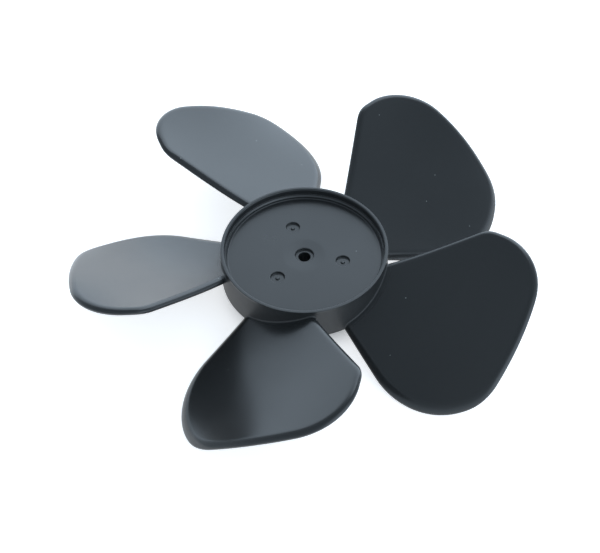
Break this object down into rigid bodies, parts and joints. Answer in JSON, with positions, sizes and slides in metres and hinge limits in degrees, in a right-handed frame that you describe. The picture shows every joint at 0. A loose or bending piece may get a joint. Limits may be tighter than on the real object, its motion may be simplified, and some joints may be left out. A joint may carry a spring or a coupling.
{
  "type": "axial fan impeller",
  "caption": "Moulded plastic axial fan impeller: broad cambered blades around a shallow drum hub, open in front, with a stepped bore for the motor shaft.",
  "frame": {"origin": "on the bore's axis, in the plane of the hub's rear rim and of the boss's end", "axes": "+Z along the axis of rotation, out of the open front of the hub; +X through the middle of one blade"},
  "size_m": [0.1937, 0.1981, 0.0392],
  "materials": {
    "black_polypropylene": "satin, as moulded"
  },
  "bodies": {
    "root": {"impeller": "black_polypropylene"}
  },
  "joints": []
}
